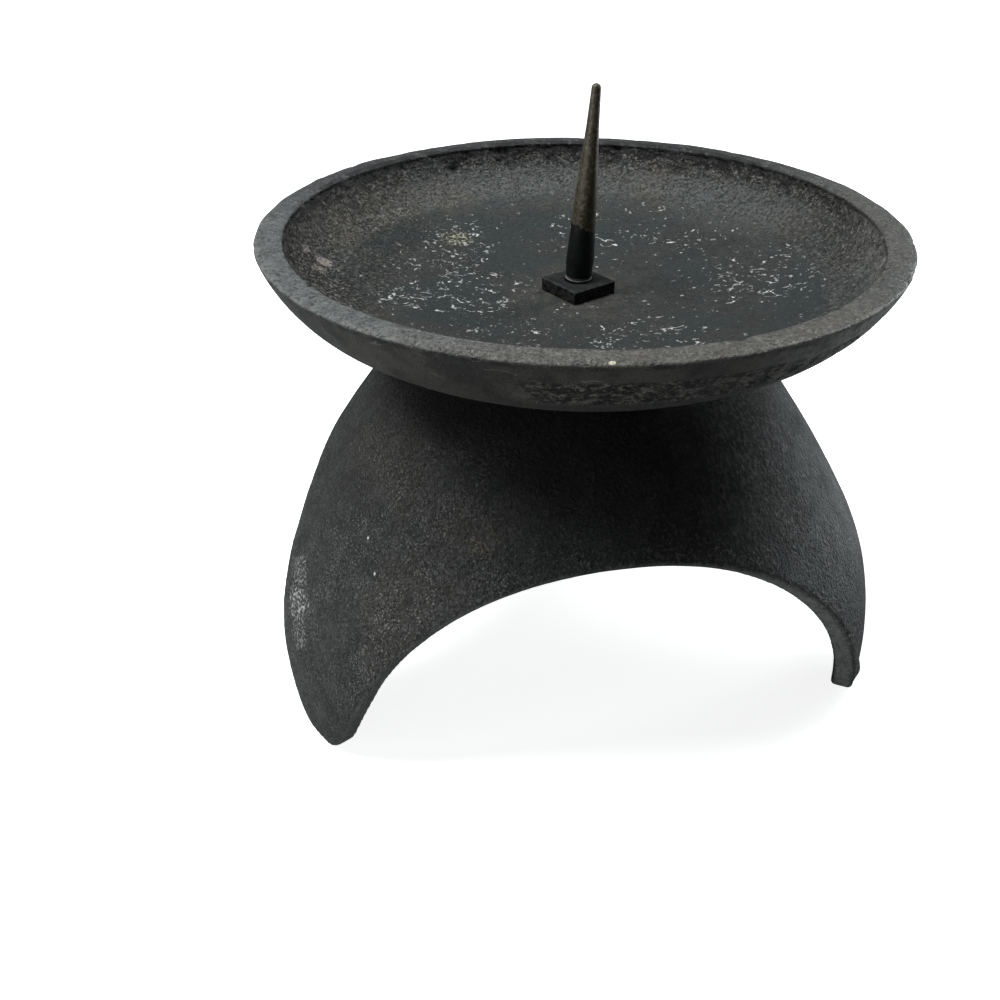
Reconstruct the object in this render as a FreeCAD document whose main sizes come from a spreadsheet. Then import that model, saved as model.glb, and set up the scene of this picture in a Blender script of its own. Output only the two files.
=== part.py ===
"""Cast iron pricket candle stand: a shallow wax dish on a hollow dome with three legs.

Lengths are millimetres and angles degrees. +Z is up and the ground is z = 0, with the
origin under the middle of the dome. The front arch faces -Y and is a little wider than the
side ones, so the legs stand at azimuths 90, 208 and 332. The pricket's threaded shank runs
down through a square nut, the dish and the crown of the dome, and a washer and a hexagon
nut draw the stack tight from below.
"""
import FreeCAD, Part
import os
import Sketcher
from math import atan2, cos, degrees, pi, radians, sin, sqrt, tan

V = FreeCAD.Vector

# Driving sizes

SIZES = {
    # dish casting
    "dish_radius": 70.0,          # outer edge of the flat rim
    "rim_width": 6.3,             # flat ring on top of the wall
    "rim_edge": 0.7,              # rounding of both rim edges
    "dish_depth": 16.0,           # rim top down to the flat middle of the floor
    "floor_thickness": 6.4,
    "floor_flat_radius": 12.0,    # flat middle under the square nut
    # dome casting
    "rim_height": 109.2,          # ground up to the top of the rim
    "dome_radius": 75.4,          # widest level
    "base_wall": 5.3,
    "seat_radius": 17.5,          # flat crown that carries the dish
    "leg_azimuth": -28.0,         # right front leg; the left one mirrors it, the third is at 90
    "arch_edge_radius": 1.0,
    # pricket
    "spike_radius": 3.05,         # at its widest
    "spike_tip_radius": 1.0,
    "spike_length": 41.0,
    "spike_lean": 3.1,            # degrees from upright
    "spike_turn": -13.2,          # azimuth that it leans towards
    "thread_radius": 2.95,
    "thread_show": 0.9,           # bright ring of thread above the square nut
    "undercut_depth": 0.5,
    "undercut_height": 0.4,
    "thread_past_nut": 3.0,
    "thread_chamfer": 0.6,
    # square nut on the dish floor
    "square_nut_side": 11.5,
    "square_nut_height": 3.0,
    "square_nut_turn": 27.7,      # azimuth of one flat side
    "square_nut_edge": 0.25,
    # washer and hexagon nut inside the crown
    "washer_radius": 6.0,
    "washer_thickness": 1.6,
    "hex_across_flats": 10.0,
    "hex_height": 5.0,
    "hex_corner_cut": 0.9,
    # fits
    "shank_clearance": 0.35,      # shank in the holes of dish, dome and washer
    "thread_clearance": 0.05,     # shank in both nuts
    "overrun": 2.0,               # how far a cut runs past what it cuts
}

# Corners of the sections, as shares of each casting's radius and height.
wall_foot_shares = (0.771, 0.337)   # where the dish's steep inner wall meets its floor
turn_shares = (0.861, 0.384)        # where the dish's outer wall turns under
underside_share = 0.486             # flat middle of the dish's underside
foot_share = 0.995                  # dome radius at the ground
belly_share = 0.138                 # height of the dome's widest level
flank_shares = (0.905, 0.461)
shoulder_shares = (0.649, 0.812)
# Heights and radii up the pricket, as shares of its length and of its widest radius.
spike_shares = [(0.0, 0.934), (0.088, 1.0), (0.463, 0.754), (0.793, 0.443)]
# The arches between the legs are drawn on upright planes: their half widths are shares of the
# dome's radius, their top a share of its height, and the inner plane a share of the outer one.
front_arch_share, side_arch_share = 1.771, 1.517
arch_top_share = 0.825
arch_plane_share = 0.388
# Where an arch's arcs meet, as shares of its half width and of its top, from crown to foot.
front_arch_shares = [(0.450, 0.772), (0.649, 0.450), (0.808, 0.135)]
side_arch_shares = [(0.420, 0.777), (0.594, 0.458), (0.759, 0.141)]
# How much of the way in the cut faces fall towards the middle of the ground.
arch_fall_share = 0.75


class Size:
    """A value that remembers how it was worked out, so a sketch can be bound to it."""

    def __init__(self, value, text):
        self.value, self.text = value, text

    @staticmethod
    def of(other):
        return other if isinstance(other, Size) else Size(other, repr(other))

    def __add__(self, other):
        o = Size.of(other)
        return Size(self.value + o.value, "(%s + %s)" % (self.text, o.text))

    def __sub__(self, other):
        o = Size.of(other)
        return Size(self.value - o.value, "(%s - %s)" % (self.text, o.text))

    def __mul__(self, other):
        o = Size.of(other)
        return Size(self.value * o.value, "(%s * %s)" % (self.text, o.text))

    def __truediv__(self, other):
        o = Size.of(other)
        return Size(self.value / o.value, "(%s / %s)" % (self.text, o.text))

    def __neg__(self):
        return Size(-self.value, "(-%s)" % self.text)


ZERO = Size(0.0, "0")

doc = FreeCAD.newDocument("candle_stand")
sheet = doc.addObject("Spreadsheet::Sheet", "Sizes")
for row, (alias, number) in enumerate(SIZES.items(), start=1):
    sheet.set("A%d" % row, alias)
    sheet.set("B%d" % row, str(number))
    sheet.setAlias("B%d" % row, alias)
doc.recompute()
s = {alias: Size(number, "Sizes." + alias) for alias, number in SIZES.items()}


# Sketch helpers

def plane_of(body, role):
    return [f for f in body.Origin.OriginFeatures if f.Role == role][0]


def new_sketch(body, name, role="XZ_Plane"):
    sketch = body.newObject("Sketcher::SketchObject", name)
    sketch.AttachmentSupport = [(plane_of(body, role), "")]
    sketch.MapMode = "FlatFace"
    return sketch


def bind(sketch, constraint, size):
    """Add a dimension and tie it to the sheet."""
    index = sketch.addConstraint(constraint)
    sketch.setExpression("Constraints[%d]" % index, size.text)
    return index


def put_x(sketch, geo, end, x):
    bind(sketch, Sketcher.Constraint("DistanceX", -1, 1, geo, end, x.value), x)


def put_y(sketch, geo, end, y):
    bind(sketch, Sketcher.Constraint("DistanceY", -1, 1, geo, end, y.value), y)


def put(sketch, geo, end, x, y):
    """Hold one end of a curve at (x, y) from the sketch's origin."""
    if x is ZERO:
        sketch.addConstraint(Sketcher.Constraint("PointOnObject", geo, end, -2))
    else:
        put_x(sketch, geo, end, x)
    if y is ZERO:
        sketch.addConstraint(Sketcher.Constraint("PointOnObject", geo, end, -1))
    else:
        put_y(sketch, geo, end, y)


def near_end(sketch, geo, point):
    """Which end of a curve lies at this point."""
    return min((1, 2), key=lambda end: (sketch.getPoint(geo, end) - point).Length)


def arc_through(start, heading, end):
    """The arc that leaves start at a heading (degrees) and reaches end, and its end heading."""
    (x0, y0), (x1, y1) = start, end
    chord = atan2(y1 - y0, x1 - x0)
    turn = chord - radians(heading)
    turn = atan2(sin(turn), cos(turn))
    length = sqrt((x1 - x0) ** 2 + (y1 - y0) ** 2)
    sag = length / 2 * tan(turn / 2)
    mid = V((x0 + x1) / 2 + sag * sin(chord), (y0 + y1) / 2 - sag * cos(chord), 0)
    arc = Part.Arc(V(x0, y0, 0), mid, V(x1, y1, 0))
    return arc, degrees(chord + turn)


class Outline:
    """A closed outline of lines and arcs, held by its corners and its tangencies."""

    def __init__(self, sketch, start):
        self.sketch, self.at = sketch, start
        self.first = self.last = None
        self.start = start

    def _join(self, geo, starts, tangent):
        kind = "Tangent" if tangent else "Coincident"
        if self.last is not None:
            self.sketch.addConstraint(
                Sketcher.Constraint(kind, self.last[0], self.last[1], geo, starts))
        else:
            self.first = (geo, starts)
            put(self.sketch, geo, starts, *self.start)

    def line(self, x, y, tangent=False):
        x0, y0 = self.at
        geo = self.sketch.addGeometry(
            Part.LineSegment(V(x0.value, y0.value, 0), V(x.value, y.value, 0)), False)
        self._join(geo, 1, tangent)
        put(self.sketch, geo, 2, x, y)
        self.last, self.at = (geo, 2), (x, y)

    def arc(self, heading, x, y, tangent=False):
        """An arc that leaves at this heading; returns its end heading."""
        x0, y0 = self.at
        arc, out = arc_through((x0.value, y0.value), heading, (x.value, y.value))
        geo = self.sketch.addGeometry(arc, False)
        start = near_end(self.sketch, geo, V(x0.value, y0.value, 0))
        end = near_end(self.sketch, geo, V(x.value, y.value, 0))
        self._join(geo, start, tangent)
        put(self.sketch, geo, end, x, y)
        self.last, self.at = (geo, end), (x, y)
        return out

    def centre_level(self, kind):
        """Hold the last arc's centre level with its end, or plumb with it."""
        geo, end = self.last
        self.sketch.addConstraint(Sketcher.Constraint(kind, geo, 3, geo, end))

    def centre_on_axis(self):
        self.sketch.addConstraint(Sketcher.Constraint("PointOnObject", self.last[0], 3, -2))

    def close(self):
        """A straight side back to the start."""
        x0, y0 = self.at
        x, y = self.start
        geo = self.sketch.addGeometry(
            Part.LineSegment(V(x0.value, y0.value, 0), V(x.value, y.value, 0)), False)
        self._join(geo, 1, False)
        self.sketch.addConstraint(
            Sketcher.Constraint("Coincident", geo, 2, self.first[0], self.first[1]))


def turn_about_z(body, sketch, name):
    feature = body.newObject("PartDesign::Revolution", name)
    feature.Profile = sketch
    feature.ReferenceAxis = (sketch, ["V_Axis"])
    feature.Angle = 360.0
    doc.recompute()
    return feature


def turn_body(body, azimuth):
    """Turn a finished body about the stand's axis."""
    body.Placement = FreeCAD.Placement(V(0, 0, 0), FreeCAD.Rotation(V(0, 0, 1), abs(azimuth.value)))
    body.setExpression("Placement.Rotation.Angle", azimuth.text)
    doc.recompute()


# Levels of the stack

rim_z = s["rim_height"]
floor_z = rim_z - s["dish_depth"]
dish_height = s["dish_depth"] + s["floor_thickness"]
crown_z = rim_z - dish_height
nut_top_z = floor_z + s["square_nut_height"]
inner_crown_z = crown_z - s["base_wall"]
washer_z = inner_crown_z - s["washer_thickness"]
hex_z = washer_z - s["hex_height"]
shank_end_z = hex_z - s["thread_past_nut"]
spike_z = nut_top_z + s["thread_show"]
hole_radius = s["thread_radius"] + s["shank_clearance"]
nut_bore_radius = s["thread_radius"] + s["thread_clearance"]

# Dish

dish = doc.addObject("PartDesign::Body", "dish")
sk = new_sketch(dish, "dish_section")
o = Outline(sk, (hole_radius, floor_z))
o.line(s["floor_flat_radius"], floor_z)
inner_x, inner_z = s["dish_radius"] - s["rim_width"], rim_z - s["rim_edge"]
heading = o.arc(0.0, s["dish_radius"] * wall_foot_shares[0],
                floor_z + s["dish_depth"] * wall_foot_shares[1], tangent=True)
o.arc(heading, inner_x, inner_z, tangent=True)
o.arc(90.0, inner_x + s["rim_edge"], rim_z)
o.centre_level("Vertical")
o.line(s["dish_radius"] - s["rim_edge"], rim_z)
o.arc(0.0, s["dish_radius"], inner_z)
o.centre_level("Horizontal")
turn_in = (s["dish_radius"] * turn_shares[0], crown_z + dish_height * turn_shares[1])
under = (s["dish_radius"] * underside_share, crown_z)
_, back = arc_through((under[0].value, under[1].value), 0.0,
                      (turn_in[0].value, turn_in[1].value))
_, rise = arc_through((turn_in[0].value, turn_in[1].value), back,
                      (s["dish_radius"].value, inner_z.value))
o.arc(rise + 180.0, *turn_in)
o.arc(back + 180.0, *under, tangent=True)
o.line(hole_radius, crown_z, tangent=True)
o.close()
dish_turned = turn_about_z(dish, sk, "dish_turned")

# Dome with three legs, hollow and open below, with one wall thickness all over

base = doc.addObject("PartDesign::Body", "base")
sk = new_sketch(base, "dome_section")
foot_x, belly_z = s["dome_radius"] * foot_share, crown_z * belly_share
o = Outline(sk, (foot_x, ZERO))
_, down = arc_through((s["dome_radius"].value, belly_z.value), -90.0, (foot_x.value, 0.0))
o.arc(down + 180.0, s["dome_radius"], belly_z)
o.centre_level("Horizontal")
outer_arcs = [o.last]
heading = o.arc(90.0, s["dome_radius"] * flank_shares[0], crown_z * flank_shares[1], tangent=True)
outer_arcs.append(o.last)
o.arc(heading, s["dome_radius"] * shoulder_shares[0], crown_z * shoulder_shares[1], tangent=True)
outer_arcs.append(o.last)
# The last arc runs out level with the seat.
x0, y0 = o.at
_, back = arc_through((s["seat_radius"].value, crown_z.value), 0.0, (x0.value, y0.value))
o.arc(back + 180.0, s["seat_radius"], crown_z)
outer_arcs.append(o.last)
o.line(ZERO, crown_z, tangent=True)
o.line(ZERO, inner_crown_z)


def inside_at(geo, level):
    """Where the circle one wall inside an outer arc crosses a level, on the far side."""
    centre = sk.getPoint(geo, 3)
    reach = (sk.getPoint(geo, 1) - centre).Length - s["base_wall"].value
    return V(centre.x + sqrt(reach ** 2 - (level - centre.y) ** 2), level, 0)


def inside_corner(geo, end):
    """The corner of two arcs moved one wall towards the middle of the casting."""
    corner, centre = sk.getPoint(geo, end), sk.getPoint(geo, 3)
    return corner + (centre - corner) * (s["base_wall"].value / (centre - corner).Length)


# The inner arcs share the outer ones' centres; their corners run from the crown down.
corners = [V(s["seat_radius"].value, inner_crown_z.value, 0)]
corners += [inside_corner(geo, end) for geo, end in reversed(outer_arcs[:-1])]
corners.append(inside_at(outer_arcs[0][0], 0.0))
o.line(s["seat_radius"], inner_crown_z)
last = o.last
for (outer, _), start, end in zip(reversed(outer_arcs), corners, corners[1:]):
    centre = sk.getPoint(outer, 3)
    middle = (start + end) * 0.5 - centre
    arc = Part.Arc(start, centre + middle * ((start - centre).Length / middle.Length), end)
    geo = sk.addGeometry(arc, False)
    # The shoulder is the one corner where the arcs needn't run into each other smoothly.
    kind = "Coincident" if outer in (outer_arcs[-1][0], outer_arcs[-2][0]) else "Tangent"
    sk.addConstraint(Sketcher.Constraint(kind, last[0], last[1], geo, near_end(sk, geo, start)))
    sk.addConstraint(Sketcher.Constraint("Coincident", geo, 3, outer, 3))
    if outer == outer_arcs[0][0]:
        put_x(sk, geo, near_end(sk, geo, start), s["dome_radius"] - s["base_wall"])
    last = (geo, near_end(sk, geo, end))
sk.addConstraint(Sketcher.Constraint("PointOnObject", last[0], last[1], -1))
ground = sk.addGeometry(Part.LineSegment(corners[-1], V(foot_x.value, 0, 0)), False)
sk.addConstraint(Sketcher.Constraint("Coincident", last[0], last[1], ground, 1))
sk.addConstraint(Sketcher.Constraint("Coincident", ground, 2, o.first[0], o.first[1]))
dome = turn_about_z(base, sk, "dome_turned")

# Arches, cut by lofts between an upright outline outside the wall and a smaller one inside
# it, so the cut faces stand about square to the wall. Each outline flares at the ground,
# which leaves the legs rounded tips. The front arch is a little wider than the side ones.
arch_out = s["dome_radius"] + s["overrun"]
arch_in = arch_out * arch_plane_share
arch_top = crown_z * arch_top_share


def arch_outline(name, half_width, shares, azimuth, distance, scale_x, scale_z):
    """The arch seen from outside, on an upright plane at this distance from the axis."""
    sketch = new_sketch(base, name)
    turn = radians(azimuth.value + 90)
    sketch.AttachmentOffset = FreeCAD.Placement(
        V(distance.value * sin(turn), 0, distance.value * cos(turn)),
        FreeCAD.Rotation(V(0, 1, 0), azimuth.value + 90))
    sketch.setExpression("AttachmentOffset.Base.x",
                         "%s * sin(%s + 90)" % (distance.text, azimuth.text))
    sketch.setExpression("AttachmentOffset.Base.z",
                         "%s * cos(%s + 90)" % (distance.text, azimuth.text))
    sketch.setExpression("AttachmentOffset.Rotation.Angle", "%s + 90" % azimuth.text)
    spots = [(half_width * sx * scale_x, arch_top * sz * scale_z) for sx, sz in shares]
    foot = half_width * scale_x
    top = (ZERO, arch_top * scale_z)
    # Headings down the right side; the left side climbs through the same ones, negated.
    path = [top] + spots + [(foot, ZERO)]
    headings = [0.0]
    for (x0, z0), (x1, z1) in zip(path, path[1:]):
        _, out = arc_through((x0.value, z0.value), headings[-1], (x1.value, z1.value))
        headings.append(out)
    below = -s["overrun"]
    o = Outline(sketch, (-foot, below))
    o.line(-foot, ZERO)
    for index in range(len(path) - 2, -1, -1):
        x, z = path[index]
        o.arc(-headings[index + 1], x if x is ZERO else -x, z, tangent=index < len(path) - 2)
    o.centre_on_axis()
    for index in range(1, len(path)):
        o.arc(headings[index - 1], *path[index], tangent=True)
    o.line(foot, below)
    o.close()
    return sketch


side_azimuth = (Size(90.0, "90") + s["leg_azimuth"]) / 2
before = dome.Shape.Volume
for name, half_width, shares, azimuth in [
        ("front", s["dome_radius"] * front_arch_share, front_arch_shares, Size(-90.0, "(-90)")),
        ("right", s["dome_radius"] * side_arch_share, side_arch_shares, side_azimuth),
        ("left", s["dome_radius"] * side_arch_share, side_arch_shares,
         Size(180.0, "180") - side_azimuth)]:
    outside = arch_outline(name + "_arch_outside", half_width, shares, azimuth, arch_out, 1.0, 1.0)
    inside = arch_outline(name + "_arch_inside", half_width, shares, azimuth, arch_in,
                          arch_plane_share, 1.0 - (1.0 - arch_plane_share) * arch_fall_share)
    doc.recompute()
    arch = base.newObject("PartDesign::SubtractiveLoft", name + "_arch")
    arch.Profile = outside
    arch.Sections = [inside]
    arch.Ruled = True
    base.Tip = arch
    doc.recompute()
    print(name, "arch takes away", round(before - arch.Shape.Volume, 1))
    before = arch.Shape.Volume
arches = arch

# Worn casting edges all round the arches.
shape = arches.Shape
skins = [f for f in shape.Faces
         if isinstance(f.Surface, (Part.Plane, Part.Toroid, Part.Sphere, Part.SurfaceOfRevolution))]
names = []
for i, edge in enumerate(shape.Edges):
    beside = [f for f in skins if any(edge.isSame(e) for e in f.Edges)]
    around = [f for f in shape.Faces if any(edge.isSame(e) for e in f.Edges)]
    middle = edge.valueAt((edge.FirstParameter + edge.LastParameter) / 2)
    if len(beside) == 1 and len(around) == 2 and middle.z > s["arch_edge_radius"].value / 10:
        names.append("Edge%d" % (i + 1))
rounded = base.newObject("PartDesign::Fillet", "worn_arch_edges")
rounded.Base = (arches, names)
rounded.setExpression("Radius", s["arch_edge_radius"].text)
base.Tip = rounded
doc.recompute()

# Hole through the crown
sk = new_sketch(base, "crown_hole_circle", "XY_Plane")
sk.addGeometry(Part.Circle(V(0, 0, 0), V(0, 0, 1), hole_radius.value), False)
sk.addConstraint(Sketcher.Constraint("Coincident", 0, 3, -1, 1))
bind(sk, Sketcher.Constraint("Radius", 0, hole_radius.value), hole_radius)
doc.recompute()
hole = base.newObject("PartDesign::Pocket", "crown_hole")
hole.Profile = sk
hole.Type = "Length"
hole.setExpression("Length", (crown_z + s["overrun"]).text)
hole.Reversed = True
doc.recompute()

# Pricket: the tapered spike leans, its threaded shank stays upright.
spike = doc.addObject("PartDesign::Body", "spike")
sk = new_sketch(spike, "shank_section")
o = Outline(sk, (ZERO, shank_end_z))
o.line(s["thread_radius"] - s["thread_chamfer"], shank_end_z)
o.line(s["thread_radius"], shank_end_z + s["thread_chamfer"])
o.line(s["thread_radius"], spike_z - s["undercut_height"])
o.line(s["thread_radius"] - s["undercut_depth"], spike_z - s["undercut_height"])
o.line(s["thread_radius"] - s["undercut_depth"], spike_z + s["undercut_height"])
o.line(ZERO, spike_z + s["undercut_height"])
o.close()
turn_about_z(spike, sk, "shank")

sk = new_sketch(spike, "spike_section")
sk.AttachmentOffset = FreeCAD.Placement(
    V(0, spike_z.value, 0), FreeCAD.Rotation(V(0, 0, -1), s["spike_lean"].value))
sk.setExpression("AttachmentOffset.Base.y", spike_z.text)
sk.setExpression("AttachmentOffset.Rotation.Angle", s["spike_lean"].text)
o = Outline(sk, (ZERO, ZERO))
for up, out in spike_shares:
    o.line(s["spike_radius"] * out, s["spike_length"] * up if up else ZERO)
o.line(s["spike_tip_radius"], s["spike_length"] - s["spike_tip_radius"])
o.arc(90.0, ZERO, s["spike_length"])
o.centre_on_axis()
o.close()
turn_about_z(spike, sk, "leaning_spike")
turn_body(spike, s["spike_turn"])


# Nuts and washer

def prism_nut(name, corners, across, low, high):
    """A nut with this many sides, its size across flats, and a bore for the thread."""
    body = doc.addObject("PartDesign::Body", name)
    sk = new_sketch(body, name + "_plan", "XY_Plane")
    sk.AttachmentOffset = FreeCAD.Placement(V(0, 0, low.value), FreeCAD.Rotation())
    sk.setExpression("AttachmentOffset.Base.z", low.text)
    reach = across.value / 2 / cos(pi / corners)
    points = [V(reach * cos(pi / corners * (2 * k + 1)), reach * sin(pi / corners * (2 * k + 1)), 0)
              for k in range(corners)]
    sides = [sk.addGeometry(Part.LineSegment(points[k], points[(k + 1) % corners]), False)
             for k in range(corners)]
    ring = sk.addGeometry(Part.Circle(V(0, 0, 0), V(0, 0, 1), reach), True)
    sk.addConstraint(Sketcher.Constraint("Coincident", ring, 3, -1, 1))
    for k in range(corners):
        sk.addConstraint(Sketcher.Constraint("Coincident", sides[k], 2, sides[(k + 1) % corners], 1))
        sk.addConstraint(Sketcher.Constraint("PointOnObject", sides[k], 1, ring))
        if k:
            sk.addConstraint(Sketcher.Constraint("Equal", sides[0], sides[k]))
    sk.addConstraint(Sketcher.Constraint("Vertical", sides[corners - 1]))
    put_x(sk, sides[corners - 1], 1, across / 2)
    bore = sk.addGeometry(Part.Circle(V(0, 0, 0), V(0, 0, 1), nut_bore_radius.value), False)
    sk.addConstraint(Sketcher.Constraint("Coincident", bore, 3, -1, 1))
    bind(sk, Sketcher.Constraint("Radius", bore, nut_bore_radius.value), nut_bore_radius)
    doc.recompute()
    pad = body.newObject("PartDesign::Pad", name + "_pad")
    pad.Profile = sk
    pad.setExpression("Length", (high - low).text)
    doc.recompute()
    return body, pad


square_nut, pad = prism_nut("square_nut", 4, s["square_nut_side"], floor_z, nut_top_z)
top_name = ["Face%d" % (i + 1) for i, f in enumerate(pad.Shape.Faces)
            if abs(f.CenterOfMass.z - nut_top_z.value) < s["square_nut_edge"].value / 2]
worn = square_nut.newObject("PartDesign::Chamfer", "square_nut_worn_edges")
worn.Base = (pad, top_name)
worn.setExpression("Size", s["square_nut_edge"].text)
square_nut.Tip = worn
turn_body(square_nut, s["square_nut_turn"])

hex_nut, pad = prism_nut("hex_nut", 6, s["hex_across_flats"], hex_z, washer_z)
sk = new_sketch(hex_nut, "hex_corner_section")
reach = s["hex_across_flats"] / (2 * cos(pi / 6))
o = Outline(sk, (reach - s["hex_corner_cut"], hex_z))
o.line(reach + s["overrun"], hex_z)
o.line(reach + s["overrun"], hex_z + (s["overrun"] + s["hex_corner_cut"]) * tan(pi / 6))
o.close()
doc.recompute()
hex_corners = hex_nut.newObject("PartDesign::Groove", "hex_corners")
hex_corners.Profile = sk
hex_corners.ReferenceAxis = (sk, ["V_Axis"])
hex_corners.Angle = 360.0
doc.recompute()

washer = doc.addObject("PartDesign::Body", "washer")
sk = new_sketch(washer, "washer_section")
o = Outline(sk, (hole_radius, washer_z))
o.line(s["washer_radius"], washer_z)
o.line(s["washer_radius"], inner_crown_z)
o.line(hole_radius, inner_crown_z)
o.close()
turn_about_z(washer, sk, "washer_turned")

# Check and write

pieces = {"dish": dish, "base": base, "spike": spike, "square_nut": square_nut,
          "washer": washer, "hex_nut": hex_nut}
for name, piece in pieces.items():
    piece.Label = name
doc.recompute()
faults = [x.Name + " " + str(x.State) for x in doc.Objects
          if "Invalid" in x.State or "Error" in x.State]
loose = [x.Name for x in doc.Objects
         if x.TypeId == "Sketcher::SketchObject" and not x.FullyConstrained]
for name, piece in pieces.items():
    shape = piece.Shape
    if shape.isNull() or not shape.isValid() or len(shape.Solids) != 1:
        faults.append(name + " has no single valid solid")
    else:
        box = shape.optimalBoundingBox(False, False)
        print("%-11s volume %9.1f  x %6.1f %6.1f  y %6.1f %6.1f  z %6.1f %6.1f" % (
            name, shape.Volume, box.XMin, box.XMax, box.YMin, box.YMax, box.ZMin, box.ZMax))
print("sketches not fully held:", loose)
if faults:
    raise RuntimeError("; ".join(faults))
os.makedirs("parts", exist_ok=True)
for name, piece in pieces.items():
    piece.Shape.exportStep("parts/%s.step" % name)
print("wrote", len(pieces), "files")
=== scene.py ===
# %% [markdown]
# # A cast iron pricket candle stand
# The stand is two rough sand castings, a shallow dish on a hollow three-legged dome, held
# together by a threaded pricket with a square nut on top and a washer and hexagon nut below.
# The measured model is loaded first and never moved. Everything is in metres, +Z is up, the
# ground is z = 0 and the wide arch faces -Y.

# %% Load the measured model
import bpy
import bmesh
import math
from mathutils import Matrix, Vector, noise


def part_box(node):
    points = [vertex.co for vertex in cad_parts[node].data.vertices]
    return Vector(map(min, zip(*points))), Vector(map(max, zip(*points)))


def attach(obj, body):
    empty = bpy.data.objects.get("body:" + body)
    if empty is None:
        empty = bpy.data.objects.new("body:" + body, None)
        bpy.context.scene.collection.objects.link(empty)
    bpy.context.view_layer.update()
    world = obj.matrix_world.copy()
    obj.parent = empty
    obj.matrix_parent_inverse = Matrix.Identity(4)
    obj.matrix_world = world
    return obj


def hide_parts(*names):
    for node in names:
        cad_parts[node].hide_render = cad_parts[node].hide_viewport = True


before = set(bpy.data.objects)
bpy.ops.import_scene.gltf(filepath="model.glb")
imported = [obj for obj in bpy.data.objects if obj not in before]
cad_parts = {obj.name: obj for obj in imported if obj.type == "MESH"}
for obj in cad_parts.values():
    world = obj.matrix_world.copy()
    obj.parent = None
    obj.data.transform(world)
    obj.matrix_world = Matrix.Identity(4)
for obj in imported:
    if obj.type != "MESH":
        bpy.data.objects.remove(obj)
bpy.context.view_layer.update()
MM = 0.001
dish_low, dish_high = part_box("dish")
nut_low, nut_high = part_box("square_nut")
spike_low, spike_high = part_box("spike")
rim_z, dish_radius = dish_high.z, dish_high.x
crown_z, nut_top = dish_low.z, nut_high.z
print("nodes", sorted(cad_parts), "rim at", round(rim_z, 4), "radius", round(dish_radius, 4),
      "pricket", round(spike_low.z, 4), "to", round(spike_high.z, 4))

# %% [markdown]
# ## Camera
# The photograph looks down on the stand from its left front. Its place and lens were worked out
# from the dish's ellipse and the legs' tips, so the camera is set by numbers and doesn't aim at
# anything.

# %% Camera
cam_data = bpy.data.cameras.new("photo_camera")
camera = bpy.data.objects.new("photo_camera", cam_data)
bpy.context.scene.collection.objects.link(camera)
camera.location = (-0.05393, -0.22994, 0.18929)
yaw, pitch, roll = math.radians(8.927), math.radians(32.785), math.radians(-0.144)
look = Vector((math.sin(yaw) * math.cos(pitch), math.cos(yaw) * math.cos(pitch), -math.sin(pitch)))
camera.rotation_mode = "QUATERNION"
camera.rotation_quaternion = look.to_track_quat("-Z", "Y") @ Matrix.Rotation(roll, 4, "Z").to_quaternion()
cam_data.sensor_width, cam_data.lens = 36.0, 40.12
cam_data.clip_start, cam_data.clip_end = 0.01, 10.0
bpy.context.scene.camera = camera
print("camera lens", cam_data.lens)

# %% [markdown]
# ## Light and floor
# A plain studio: a pale floor, a white world and big soft lamps. The camera sees the floor and
# the world as white through Light Path, so the lamps can stay at a level that doesn't wash the
# iron out. The floor still darkens under the legs.

# %% Lights
scene = bpy.context.scene
scene.view_settings.view_transform = "Standard"


def soft_lamp(name, place, aim, size, power, colour=(1.0, 1.0, 1.0)):
    data = bpy.data.lights.new(name, "AREA")
    data.shape, data.size, data.energy, data.color = "DISK", size, power, colour
    lamp = bpy.data.objects.new(name, data)
    lamp.location = place
    lamp.rotation_mode = "QUATERNION"
    lamp.rotation_quaternion = (Vector(aim) - Vector(place)).to_track_quat("-Z", "Y")
    scene.collection.objects.link(lamp)
    return lamp


soft_lamp("overhead_softbox", (-0.08, 0.06, 0.90), (0, 0, 0.09), 0.40, 5.8)
soft_lamp("left_softbox", (-0.52, 0.00, 0.74), (0, 0, 0.06), 0.32, 5.5, (0.96, 0.99, 1.0))
soft_lamp("right_softbox", (0.52, 0.26, 0.70), (0, 0, 0.06), 0.32, 2.4, (0.93, 0.98, 1.0))
soft_lamp("left_floor_card", (-0.92, -0.20, 0.10), (0, 0, 0.02), 0.30, 2.0, (0.96, 0.99, 1.0))
soft_lamp("right_floor_card", (0.90, 0.34, 0.12), (0, 0, 0.02), 0.30, 4.6, (0.93, 0.98, 1.0))
soft_lamp("front_floor_card", (-0.66, -0.56, 0.05), (0, 0, 0.02), 0.28, 1.9)

# %% World
world = bpy.data.worlds.new("white_room")
world.use_nodes = True
scene.world = world
wn, wl = world.node_tree.nodes, world.node_tree.links
wn.clear()
world_out = wn.new("ShaderNodeOutputWorld")
room = wn.new("ShaderNodeBackground")
room.inputs["Color"].default_value = (0.93, 0.97, 1.0, 1)
room.inputs["Strength"].default_value = 0.05
seen = wn.new("ShaderNodeBackground")
seen.inputs["Color"].default_value = (1, 1, 1, 1)
seen.inputs["Strength"].default_value = 1.0
pick = wn.new("ShaderNodeMixShader")
ray = wn.new("ShaderNodeLightPath")
wl.new(ray.outputs["Is Camera Ray"], pick.inputs[0])
wl.new(room.outputs[0], pick.inputs[1])
wl.new(seen.outputs[0], pick.inputs[2])
wl.new(pick.outputs[0], world_out.inputs["Surface"])
print("world", world.name)

# %% [markdown]
# The floor is a pale board that the camera also sees lit by a little emission, so that it looks
# white and still keeps the shadow. The iron sees a dimmer board, as it would in a large room.
# Far from the lamps the board would look grey, so the camera's lift grows with distance.

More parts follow.
